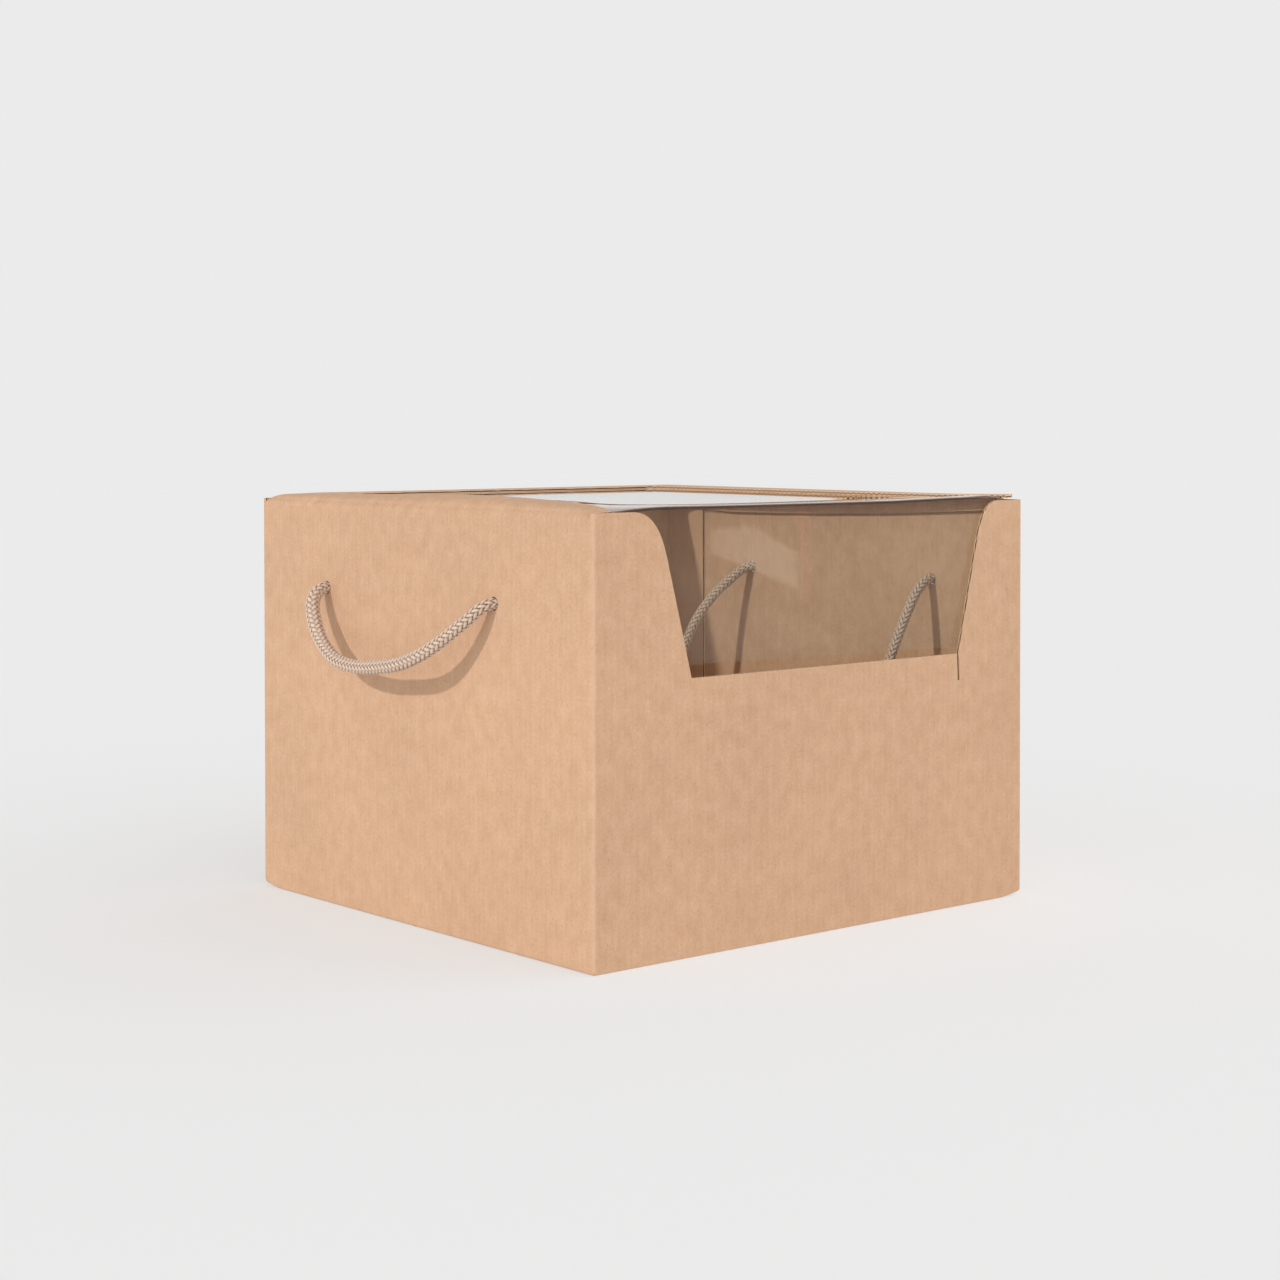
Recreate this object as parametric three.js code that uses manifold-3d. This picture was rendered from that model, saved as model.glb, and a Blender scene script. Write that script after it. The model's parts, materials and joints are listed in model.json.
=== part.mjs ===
// Cake box folded from corrugated kraft board. Its lid has a film window and folds up from the left
// wall, and each side wall carries a cord handle.
// Millimetres, +Z up. The origin is under the middle of the base, and the cut-out front faces -Y.
import * as THREE from 'three';
import { mergeVertices } from 'three/addons/utils/BufferGeometryUtils.js';
import Module from 'manifold-3d';

const wasm = await Module();
wasm.setup();

// Driving dimensions of the box
const boxWidth = 250;
const boxDepth = 250;
const wallHeight = 182;
const board = 1.5;
const foldRadius = 2;
const baseFoldInset = 1.8;
const touchGap = 0.3;

// Glue flap, from the back wall onto the inside of the right wall
const glueFlapWidth = 27;
const glueFlapSlant = 5;
const cornerNotchWidth = 1.2;
const cornerNotchDepth = 1;

// Bottom flaps
const sideFlapLength = 66;
const sideFlapTaper = 22;
const seamWidth = 0.6;
const seamDepth = 0.8;
const tongueHalfWidth = 46;
const tongueReach = 22;
const tongueSlant = 14;

// Front window cut-out: how far each shoulder runs in from its side at the top, at the end of its
// round and at the sill, and how deep the round and the sill lie
const leftShoulder = { flat: 20.5, round: 37.6, roundDepth: 19, sill: 50.2 };
const rightShoulder = { flat: 16, round: 30.2, roundDepth: 17.7, sill: 42.5 };
const sillDepth = 68;
const shoulderTopPull = { along: 0.55, down: 0.02 };
const shoulderSidePull = 0.6;
const slitLength = 12;
const slitWidth = 0.7;
const slitLean = 1.3;

// Lid frame
const sideBorder = 22.8;
const sideBorderFront = 10.5;
const borderTaperLength = 200;
const borderTaperBend = 90;
const backBorder = 12;
const windowCornerRadius = 9;
const lidEndGap = 0.6;
const foldCornerRadius = 14;
const tuckSideCornerRadius = 6;

// Tuck flap at the lid's right edge
const tuckClearance = 1;
const tuckDepthBack = 13;
const tuckDepthFront = 7;
const tuckCornerRadius = 5;
const tuckFrontInset = 12;
const tuckGlueFlapGap = 2;
const tuckFrontSlant = 1;
const tuckRearRise = 2;
const tuckSweepLength = 88;

// Window film
const filmThickness = 0.3;
const filmBendRadius = 2.2;
const filmWallGap = 0.6;
const filmSideInset = 2;
const filmRightOverlap = 13;
const filmBackOverlap = 8;
const skirtSillGap = 5;

// Cord handles
const cordDiameter = 5;
const cordSides = 10;
const cordSteps = 64;
const holeDiameter = 6.4;
const holeSpacing = 128;
const holeOffset = 4.5;
const holeDepth = 39;
const holeSides = 24;

// Knots at the cord ends
const knotRadius = 6.6;
const knotLength = 13;
const knotTailLength = 9;
const knotShoulderRadius = 5.3;
const knotShoulderLength = 1.3;
const knotRoundLength = 4.5;
const knotSides = 20;

// Sizes that follow
const halfWidth = boxWidth / 2;
const halfDepth = boxDepth / 2;
const innerHalfWidth = halfWidth - board;
const innerHalfDepth = halfDepth - board;
const sillHeight = wallHeight - sillDepth;
const holeHeight = wallHeight - holeDepth;
const lidUnderside = wallHeight + touchGap;
const lidTop = lidUnderside + board;
const hingeX = -halfWidth + board / 2;
const hingeZ = lidUnderside + board / 2;
const lidHalfDepth = halfDepth - lidEndGap;
const tuckOuterX = innerHalfWidth - tuckClearance;
const glueFlapEdgeY = innerHalfDepth - glueFlapWidth;
const filmTop = lidUnderside - touchGap;
const cutMargin = 5;

const kraft = new THREE.MeshStandardMaterial({ color: 0xcfa27c, roughness: 0.9, metalness: 0 });
const kraftLid = new THREE.MeshStandardMaterial({ color: 0xd6aa84, roughness: 0.9, metalness: 0 });
const film = new THREE.MeshStandardMaterial({
  color: 0xe9eef2,
  roughness: 0.08,
  metalness: 0,
  transparent: true,
  opacity: 0.3,
});
const cord = new THREE.MeshStandardMaterial({ color: 0xc9b29b, roughness: 0.85, metalness: 0 });

// Turns a closed geometry into a solid that can be cut and joined
function toSolid(geometry) {
  const bare = geometry.clone();
  bare.deleteAttribute('normal');
  bare.deleteAttribute('uv');
  const merged = mergeVertices(bare, 1e-4);
  const mesh = new wasm.Mesh({
    numProp: 3,
    vertProperties: new Float32Array(merged.attributes.position.array),
    triVerts: new Uint32Array(merged.index.array),
  });
  return new wasm.Manifold(mesh);
}

function toGeometry(solid) {
  const mesh = solid.getMesh();
  const geometry = new THREE.BufferGeometry();
  geometry.setAttribute('position', new THREE.BufferAttribute(mesh.vertProperties, 3));
  geometry.setIndex(new THREE.BufferAttribute(mesh.triVerts, 1));
  geometry.computeVertexNormals();
  return geometry;
}

// A prism over an outline in X and Y, standing from z = from to z = to
function prism(shape, from, to, curveSegments = 6) {
  const settings = { depth: to - from, bevelEnabled: false, curveSegments };
  return toSolid(new THREE.ExtrudeGeometry(shape, settings).translate(0, 0, from));
}

// A prism over an outline drawn in X and Z, from y = from to y = to
function prismAlongY(shape, from, to, curveSegments = 8) {
  const settings = { depth: to - from, bevelEnabled: false, curveSegments };
  const geometry = new THREE.ExtrudeGeometry(shape, settings);
  return toSolid(geometry.rotateX(Math.PI / 2).translate(0, to, 0));
}

// A prism over an outline drawn in Y and Z, from x = from to x = to
function prismAlongX(shape, from, to, curveSegments = 8) {
  const settings = { depth: to - from, bevelEnabled: false, curveSegments };
  const geometry = new THREE.ExtrudeGeometry(shape, settings);
  return toSolid(geometry.rotateX(Math.PI / 2).rotateZ(Math.PI / 2).translate(from, 0, 0));
}

function polygon(points) {
  return new THREE.Shape(points.map(([x, y]) => new THREE.Vector2(x, y)));
}

function rectangle(x0, x1, y0, y1) {
  return polygon([[x0, y0], [x1, y0], [x1, y1], [x0, y1]]);
}

// A rectangle about the origin with round corners, except a sharp one at the right rear
function sheetOutline(halfX, halfY, radius) {
  const shape = new THREE.Shape();
  shape.moveTo(-halfX + radius, -halfY);
  shape.lineTo(halfX - radius, -halfY);
  shape.absarc(halfX - radius, -halfY + radius, radius, -Math.PI / 2, 0);
  shape.lineTo(halfX, halfY);
  shape.lineTo(-halfX + radius, halfY);
  shape.absarc(-halfX + radius, halfY - radius, radius, Math.PI / 2, Math.PI);
  shape.lineTo(-halfX, -halfY + radius);
  shape.absarc(-halfX + radius, -halfY + radius, radius, Math.PI, Math.PI * 1.5);
  return shape;
}

// The outside of the folded sheet: upright folds and base folds are round, the top is cut level
function outerBlock() {
  const settings = {
    depth: wallHeight,
    bevelEnabled: true,
    bevelThickness: foldRadius,
    bevelSize: baseFoldInset,
    bevelOffset: -baseFoldInset,
    bevelSegments: 3,
    curveSegments: 5,
  };
  const outline = sheetOutline(halfWidth, halfDepth, foldRadius);
  const block = toSolid(new THREE.ExtrudeGeometry(outline, settings).translate(0, 0, foldRadius));
  const above = rectangle(-boxWidth, boxWidth, -boxDepth, boxDepth);
  return block.subtract(prism(above, wallHeight, wallHeight + 3 * foldRadius));
}

// The room inside, down to the side flaps, and the middle field between them
function innerRoom() {
  const room = prism(rectangle(-innerHalfWidth, innerHalfWidth, -innerHalfDepth, innerHalfDepth),
    2 * board, wallHeight + cutMargin);
  const edge = innerHalfWidth - sideFlapLength;
  const field = polygon([
    [-edge, -innerHalfDepth + sideFlapTaper],
    [-innerHalfWidth, -innerHalfDepth],
    [innerHalfWidth, -innerHalfDepth],
    [edge, -innerHalfDepth + sideFlapTaper],
    [edge, innerHalfDepth - sideFlapTaper],
    [innerHalfWidth, innerHalfDepth],
    [-innerHalfWidth, innerHalfDepth],
    [-edge, innerHalfDepth - sideFlapTaper],
  ]);
  return room.add(prism(field, board, 3 * board));
}

// The glue flap's ends are cut on a slant
function glueFlap() {
  const top = wallHeight - board;
  const bottom = 3 * board;
  const outline = polygon([
    [glueFlapEdgeY, bottom + glueFlapSlant],
    [innerHalfDepth + board / 2, bottom],
    [innerHalfDepth + board / 2, top],
    [glueFlapEdgeY, top - glueFlapSlant / 2],
  ]);
  return prismAlongX(outline, innerHalfWidth - board, innerHalfWidth + board / 2);
}

// The raw edge of the right wall shows as a small notch beside the last upright fold
function cornerNotch() {
  const outline = polygon([
    [innerHalfWidth - cornerNotchWidth / 2, halfDepth + board],
    [innerHalfWidth - cornerNotchWidth / 2, halfDepth],
    [innerHalfWidth + board / 4, halfDepth - cornerNotchDepth],
    [innerHalfWidth + cornerNotchWidth / 2, halfDepth],
    [innerHalfWidth + cornerNotchWidth / 2, halfDepth + board],
  ]);
  return prism(outline, -board, wallHeight + board);
}

// The line where the front and rear bottom flaps meet, with the locking tongue in its middle
function baseSeam() {
  const rise = seamWidth / 2;
  const centre = [
    [-halfWidth - board, 0],
    [-tongueHalfWidth - tongueSlant, 0],
    [-tongueHalfWidth, -tongueReach],
    [tongueHalfWidth, -tongueReach],
    [tongueHalfWidth + tongueSlant, 0],
    [halfWidth + board, 0],
  ];
  const lower = centre.map(([x, y]) => [x, y - rise]);
  const upper = centre.map(([x, y]) => [x, y + rise]).reverse();
  return prism(polygon([...lower, ...upper]), -board, seamDepth);
}

function windowCutOut() {
  const left = leftShoulder;
  const right = rightShoulder;
  const pull = shoulderTopPull;
  const side = shoulderSidePull;
  const top = wallHeight;
  const leftLean = (left.sill - left.round) / (sillDepth - left.roundDepth);
  const rightLean = (right.sill - right.round) / (sillDepth - right.roundDepth);
  const shape = new THREE.Shape();
  shape.moveTo(-halfWidth + left.flat, top + cutMargin);
  shape.lineTo(-halfWidth + left.flat, top);
  shape.bezierCurveTo(
    -halfWidth + left.flat + (left.round - left.flat) * pull.along, top - left.roundDepth * pull.down,
    -halfWidth + left.round - leftLean * left.roundDepth * side, top - left.roundDepth * side,
    -halfWidth + left.round, top - left.roundDepth,
  );
  shape.lineTo(-halfWidth + left.sill, sillHeight);
  shape.lineTo(halfWidth - right.sill, sillHeight);
  shape.lineTo(halfWidth - right.round, top - right.roundDepth);
  shape.bezierCurveTo(
    halfWidth - right.round + rightLean * right.roundDepth * side, top - right.roundDepth * side,
    halfWidth - right.flat - (right.round - right.flat) * pull.along, top - right.roundDepth * pull.down,
    halfWidth - right.flat, top,
  );
  shape.lineTo(halfWidth - right.flat, top + cutMargin);
  return prismAlongY(shape, -halfDepth - board, -innerHalfDepth + board);
}

function sillSlit() {
  const x = halfWidth - rightShoulder.sill;
  const outline = polygon([
    [x - slitWidth, sillHeight + slitWidth],
    [x + slitLean - slitWidth / 2, sillHeight - slitLength],
    [x + slitLean + slitWidth / 2, sillHeight - slitLength],
    [x, sillHeight + slitWidth],
  ]);
  return prismAlongY(outline, -halfDepth - board, -innerHalfDepth + board);
}

// Punched holes, through one side wall. Both walls are cut by one pattern, so one is the other
// turned half round, and both pairs lie off the middle
function cordHoles(side) {
  const holes = [-1, 1].map((end) => {
    const hole = new THREE.CylinderGeometry(holeDiameter / 2, holeDiameter / 2, 4 * board, holeSides);
    hole.rotateZ(Math.PI / 2);
    hole.translate(
      side * (halfWidth - board / 2),
      -side * (holeOffset + end * holeSpacing / 2),
      holeHeight,
    );
    return toSolid(hole);
  });
  return holes[0].add(holes[1]);
}

function cartonGeometry() {
  const shell = outerBlock()
    .subtract(innerRoom())
    .add(glueFlap())
    .subtract(cornerNotch())
    .subtract(baseSeam())
    .subtract(windowCutOut())
    .subtract(sillSlit())
    .subtract(cordHoles(-1))
    .subtract(cordHoles(1));
  return toGeometry(shell);
}

// The lid panel from fold to fold. Its left edge is a half round about the fold line
function lidPanel() {
  const radius = board / 2;
  const right = tuckOuterX;
  const profile = new THREE.Shape();
  profile.moveTo(hingeX, lidUnderside);
  profile.lineTo(right, lidUnderside);
  profile.absarc(right - board, lidUnderside, board, 0, Math.PI / 2);
  profile.lineTo(hingeX, lidTop);
  profile.absarc(hingeX, hingeZ, radius, Math.PI / 2, Math.PI * 1.5);
  return prismAlongY(profile, -lidHalfDepth, lidHalfDepth);
}

// The lid's corners are cut round, with a wide sweep at the ends of the fold
function lidOutline() {
  const left = -halfWidth - board;
  const right = tuckOuterX + board;
  const wide = foldCornerRadius;
  const tight = tuckSideCornerRadius;
  const shape = new THREE.Shape();
  shape.moveTo(left, -lidHalfDepth + wide);
  shape.lineTo(-halfWidth, -lidHalfDepth + wide);
  shape.absarc(-halfWidth + wide, -lidHalfDepth + wide, wide, Math.PI, Math.PI * 1.5);
  shape.lineTo(tuckOuterX - tight, -lidHalfDepth);
  shape.absarc(tuckOuterX - tight, -lidHalfDepth + tight, tight, -Math.PI / 2, 0);
  shape.lineTo(right, -lidHalfDepth + tight);
  shape.lineTo(right, lidHalfDepth - tight);
  shape.lineTo(tuckOuterX, lidHalfDepth - tight);
  shape.absarc(tuckOuterX - tight, lidHalfDepth - tight, tight, 0, Math.PI / 2);
  shape.lineTo(-halfWidth + wide, lidHalfDepth);
  shape.absarc(-halfWidth + wide, lidHalfDepth - wide, wide, Math.PI / 2, Math.PI);
  shape.lineTo(left, lidHalfDepth - wide);
  return prism(shape, lidUnderside - board, lidTop + board, 6);
}

// The opening that the film covers: it widens to the front, where it has no border
function lidWindow() {
  const front = -lidHalfDepth;
  const back = halfDepth - backBorder;
  const radius = windowCornerRadius;
  const straight = front + borderTaperLength;
  const bend = front + borderTaperBend;
  const inner = halfWidth - sideBorder;
  const flared = halfWidth - sideBorderFront;
  const shape = new THREE.Shape();
  shape.moveTo(-flared, front - cutMargin);
  shape.lineTo(flared, front - cutMargin);
  shape.lineTo(flared, front);
  shape.quadraticCurveTo(inner, bend, inner, straight);
  shape.lineTo(inner, back - radius);
  shape.absarc(inner - radius, back - radius, radius, 0, Math.PI / 2);
  shape.lineTo(-inner + radius, back);
  shape.absarc(-inner + radius, back - radius, radius, Math.PI / 2, Math.PI);
  shape.lineTo(-inner, straight);
  shape.quadraticCurveTo(-inner, bend, -flared, front);
  return prism(shape, lidUnderside - board, lidTop + board, 8);
}

// The tuck flap is deepest near its rear end and runs out to the front
function tuckFlap() {
  const front = -halfDepth + tuckFrontInset;
  const back = glueFlapEdgeY - tuckGlueFlapGap;
  const top = lidUnderside + board / 2;
  const radius = tuckCornerRadius;
  const deepest = back - 4 * radius;
  const shallow = lidTop - tuckDepthFront;
  const low = lidTop - tuckDepthBack;
  const rear = low + tuckRearRise;
  const slant = tuckFrontSlant;
  const shape = new THREE.Shape();
  shape.moveTo(front, top);
  shape.lineTo(front + slant, shallow + slant);
  shape.quadraticCurveTo(front + 2 * slant, shallow, front + radius, shallow);
  shape.bezierCurveTo(front + tuckSweepLength, low + slant, deepest - 3 * radius, low, deepest, low);
  shape.lineTo(back - radius, rear);
  shape.quadraticCurveTo(back, rear, back, rear + radius);
  shape.lineTo(back, top);
  return prismAlongX(shape, tuckOuterX - board, tuckOuterX);
}

function lidGeometry() {
  return toGeometry(lidPanel().intersect(lidOutline()).subtract(lidWindow()).add(tuckFlap()));
}

// The film lies under the lid frame, bends over the front edge and hangs behind the front wall
function filmGeometry() {
  const outerY = -innerHalfDepth + filmWallGap;
  const outer = filmBendRadius;
  const inner = filmBendRadius - filmThickness;
  const centreY = outerY + outer;
  const centreZ = filmTop - outer;
  const back = halfDepth - backBorder + filmBackOverlap;
  const hem = sillHeight + skirtSillGap;
  const profile = new THREE.Shape();
  profile.moveTo(back, filmTop);
  profile.lineTo(centreY, filmTop);
  profile.absarc(centreY, centreZ, outer, Math.PI / 2, Math.PI);
  profile.lineTo(outerY, hem);
  profile.lineTo(outerY + filmThickness, hem);
  profile.lineTo(outerY + filmThickness, centreZ);
  profile.absarc(centreY, centreZ, inner, Math.PI, Math.PI / 2, true);
  profile.lineTo(back, filmTop - filmThickness);
  const left = -innerHalfWidth + filmSideInset;
  const right = halfWidth - sideBorder + filmRightOverlap;
  return toGeometry(prismAlongX(profile, left, right, 5));
}

// Route of one handle cord from knot to knot: out from the side wall, along it, and up from the
// hole's height
const cordRoute = [
  [-34, -78, -63],
  [-33.5, -77.7, -48],
  [-28.5, -74, -30],
  [-20.5, -69.5, -16.5],
  [-12.5, -65, -7.6],
  [-6.5, -61.6, -2],
  [-0.75, -59.5, 0],
  [4.8, -57.2, -1.6],
  [10, -50.5, -8.5],
  [15.5, -36.5, -19],
  [18, -20, -26],
  [17.5, 0, -29.5],
  [16.5, 20, -31],
  [15.5, 38, -29],
  [13.5, 52, -22.5],
  [11.5, 61, -14.2],
  [9, 66.5, -6.2],
  [4.7, 68.4, -1.3],
  [-0.75, 68.5, 0],
  [-6, 68.5, -1.5],
  [-12, 68.7, -7],
  [-18, 69, -15.5],
  [-24, 69, -26],
  [-30, 69, -38],
  [-34.5, 69, -50],
  [-35, 69, -63],
];

function cordPoint([out, along, up], side) {
  return new THREE.Vector3(side * (halfWidth + out), -side * along, holeHeight + up);
}

function cordGeometry(side) {
  const points = cordRoute.map((point) => cordPoint(point, side));
  const path = new THREE.CatmullRomCurve3(points, false, 'catmullrom');
  const section = new THREE.Shape();
  section.absarc(0, 0, cordDiameter / 2, 0, Math.PI * 2);
  const settings = { steps: cordSteps, extrudePath: path, curveSegments: cordSides / 2 };
  return toGeometry(toSolid(new THREE.ExtrudeGeometry(section, settings)));
}

// An overhand knot in its outer shape, with the cord's end below it
function knotGeometry() {
  const cordRadius = cordDiameter / 2;
  const top = -touchGap;
  const bottom = top - knotLength;
  const profile = [
    [0, bottom - knotTailLength],
    [cordRadius, bottom - knotTailLength],
    [cordRadius, bottom],
    [knotShoulderRadius, bottom + knotShoulderLength],
    [knotRadius, bottom + knotRoundLength],
    [knotRadius, top - knotRoundLength],
    [knotShoulderRadius, top - knotShoulderLength],
    [cordRadius, top],
    [0, top],
  ];
  const points = profile.map(([r, z]) => new THREE.Vector2(r, z));
  const geometry = new THREE.LatheGeometry(points, knotSides).rotateX(Math.PI / 2);
  return toGeometry(toSolid(geometry));
}

function addPiece(group, name, geometry, material) {
  const mesh = new THREE.Mesh(geometry, material);
  mesh.name = name;
  group.add(mesh);
  return mesh;
}

const group = new THREE.Group();
addPiece(group, 'carton', cartonGeometry(), kraft);
addPiece(group, 'lid_frame', lidGeometry(), kraftLid);
addPiece(group, 'window_film', filmGeometry(), film);
for (const [sideName, side] of [['left', -1], ['right', 1]]) {
  addPiece(group, `rope_${sideName}`, cordGeometry(side), cord);
  const ends = [cordRoute[0], cordRoute[cordRoute.length - 1]];
  for (const end of ends) {
    const endName = cordPoint(end, side).y < 0 ? 'front' : 'back';
    const knot = addPiece(group, `knot_${sideName}_${endName}`, knotGeometry(), cord);
    knot.position.copy(cordPoint(end, side));
  }
}

export default group;
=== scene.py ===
import json
import math
import bpy
import bmesh
import numpy as np
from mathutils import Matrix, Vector, noise

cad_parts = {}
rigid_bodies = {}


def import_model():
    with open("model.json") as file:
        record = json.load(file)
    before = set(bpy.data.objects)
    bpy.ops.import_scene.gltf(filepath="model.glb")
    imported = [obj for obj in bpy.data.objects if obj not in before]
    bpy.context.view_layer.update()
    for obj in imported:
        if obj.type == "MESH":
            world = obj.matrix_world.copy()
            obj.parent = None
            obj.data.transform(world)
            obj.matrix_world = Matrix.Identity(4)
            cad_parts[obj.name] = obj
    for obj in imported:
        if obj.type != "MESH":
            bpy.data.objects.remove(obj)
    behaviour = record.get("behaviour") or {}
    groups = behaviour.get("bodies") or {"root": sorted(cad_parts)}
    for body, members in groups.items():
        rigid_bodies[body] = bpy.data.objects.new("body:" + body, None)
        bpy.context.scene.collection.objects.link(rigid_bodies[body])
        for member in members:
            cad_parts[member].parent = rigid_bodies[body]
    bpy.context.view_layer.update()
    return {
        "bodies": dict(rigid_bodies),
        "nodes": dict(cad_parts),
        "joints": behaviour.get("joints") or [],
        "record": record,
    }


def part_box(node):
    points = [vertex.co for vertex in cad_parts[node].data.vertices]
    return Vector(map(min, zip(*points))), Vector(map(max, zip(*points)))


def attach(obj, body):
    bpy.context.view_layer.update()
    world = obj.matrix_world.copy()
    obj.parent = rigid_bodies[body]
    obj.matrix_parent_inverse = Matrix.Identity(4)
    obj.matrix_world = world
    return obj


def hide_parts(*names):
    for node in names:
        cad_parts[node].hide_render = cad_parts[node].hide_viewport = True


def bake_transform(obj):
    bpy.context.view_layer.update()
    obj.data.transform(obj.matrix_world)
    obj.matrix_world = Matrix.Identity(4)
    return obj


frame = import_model()
mm = 0.001
print("frame loaded")

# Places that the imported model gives
halfX, halfY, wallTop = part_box("carton")[1]
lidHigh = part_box("lid_frame")[1]
filmLow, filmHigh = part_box("window_film")

photoCamera = {
    "place": (-0.71098, -0.87064, 0.21932),
    "turn": -41.362,  # degrees about Z
    "pitch": 1.207,  # degrees down
    "focal": 2424.6,  # in pixels of the square frame
    "centre": (728.6, 469.2),  # where the view axis meets the frame
    "frame": 1280,
    "sensor": 36.0,
}

boardSheet = {
    "thickness": 1.5 * mm,
    "foldRadius": 1.7 * mm,
    "grid": 5.0 * mm,
    "flutePitch": 3.3 * mm,  # E-flute, 90 to the foot
    "bow": 0.7 * mm,  # how far a wall bellies out
    "ripple": 0.22 * mm,
    "foldWearAndHighlight": 1.1 * mm,  # how far the paler paper of a fold reaches: partly crushed paper, partly a painted highlight
    "overcut": 2 * mm,  # how far a cutter stands past the face that it cuts
}
innerX = halfX - boardSheet["thickness"]  # the walls' inner faces
innerY = halfY - boardSheet["thickness"]


def makeCamera(settings):
    lens = bpy.data.cameras.new("photo_camera")
    size = settings["frame"]
    lens.sensor_width = settings["sensor"]
    lens.lens = settings["focal"] * settings["sensor"] / size
    lens.shift_x = (size / 2 - settings["centre"][0]) / size
    lens.shift_y = (settings["centre"][1] - size / 2) / size
    camera = bpy.data.objects.new("photo_camera", lens)
    camera.location = settings["place"]
    camera.rotation_euler = (
        math.radians(90 - settings["pitch"]), 0, math.radians(settings["turn"]))
    bpy.context.collection.objects.link(camera)
    bpy.context.scene.camera = camera


makeCamera(photoCamera)
print("camera set")


# Small helpers for nodes and colours

def linearColour(hexText, alpha=1.0):
    channels = [int(hexText[i:i + 2], 16) / 255 for i in (1, 3, 5)]
    linear = [c / 12.92 if c <= 0.04045 else ((c + 0.055) / 1.055) ** 2.4 for c in channels]
    return (*linear, alpha)


def addNode(material, kind, settings=None, values=None, links=None):
    node = material.node_tree.nodes.new(kind)
    for name, value in (settings or {}).items():
        setattr(node, name, value)
    for name, value in (values or {}).items():
        node.inputs[name].default_value = value
    for name, source in (links or {}).items():
        material.node_tree.links.new(source, node.inputs[name])
    return node


def newMaterial(name):
    material = bpy.data.materials.new(name)
    material.use_nodes = True
    material.node_tree.nodes.clear()
    return material


def readAttribute(material, name, output="Fac"):
    return addNode(material, "ShaderNodeAttribute", {"attribute_name": name}).outputs[output]


def readParts(material, vector):
    return addNode(material, "ShaderNodeSeparateXYZ", links={0: vector}).outputs


def showSurface(material, shader):
    addNode(material, "ShaderNodeOutputMaterial", links={"Surface": shader.outputs[0]})
    return material


def calculate(material, operation, first, second=None, third=None):
    node = addNode(material, "ShaderNodeMath", {"operation": operation})
    for socket, value in zip(node.inputs, (first, second, third)):
        if value is None:
            continue
        if isinstance(value, (int, float)):
            socket.default_value = value
        else:
            material.node_tree.links.new(value, socket)
    return node.outputs[0]


def tint(material, factor, below, above, blend="MIX"):
    mixed = addNode(material, "ShaderNodeMix", {"data_type": "RGBA", "blend_type": blend})
    for socket, value in ((0, factor), (6, below), (7, above)):
        if isinstance(value, str):
            value = linearColour(value)
        if isinstance(value, (int, float, tuple)):
            mixed.inputs[socket].default_value = value
        else:
            material.node_tree.links.new(value, mixed.inputs[socket])
    return mixed.outputs[2]


def sheetNoise(material, place, acrossFlutes, alongFlutes, detail=2.0):
    # One cycle of the noise covers about these two lengths on the flat sheet
    scaled = addNode(material, "ShaderNodeVectorMath", {"operation": "MULTIPLY"}, links={0: place})
    scaled.inputs[1].default_value = (1 / acrossFlutes, 1 / alongFlutes, 1 / acrossFlutes)
    texture = addNode(material, "ShaderNodeTexNoise", {}, {"Scale": 1.0, "Detail": detail},
                      {"Vector": scaled.outputs[0]})
    return texture.outputs["Fac"]


def fluteTurn(material, across):
    # The corrugation's phase, from the place across the flutes
    return calculate(material, "MULTIPLY", across, 2 * math.pi / boardSheet["flutePitch"])


kraftLook = {
    "paper": "#C8A080",
    "dark": "#B28966",
    "light": "#D9B698",
    "fibre": "#8E6849",
    # Each pattern's reach across the flutes and along them
    "mottle": (6 * mm, 8.4 * mm),
    "clouds": (55 * mm, 70 * mm),
    "fibres": (0.9 * mm, 9 * mm),
    "flecks": (0.8 * mm, 2.6 * mm),
    "grain": (0.9 * mm, 1.17 * mm),
    "roughness": 0.86,
    "cutPaper": ("#D2AA85", "#EBCDAE"),
    # Painted shade for the open flute hollows of a cut edge
    "cutHollowShade": "#6E4E36",
}


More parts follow.
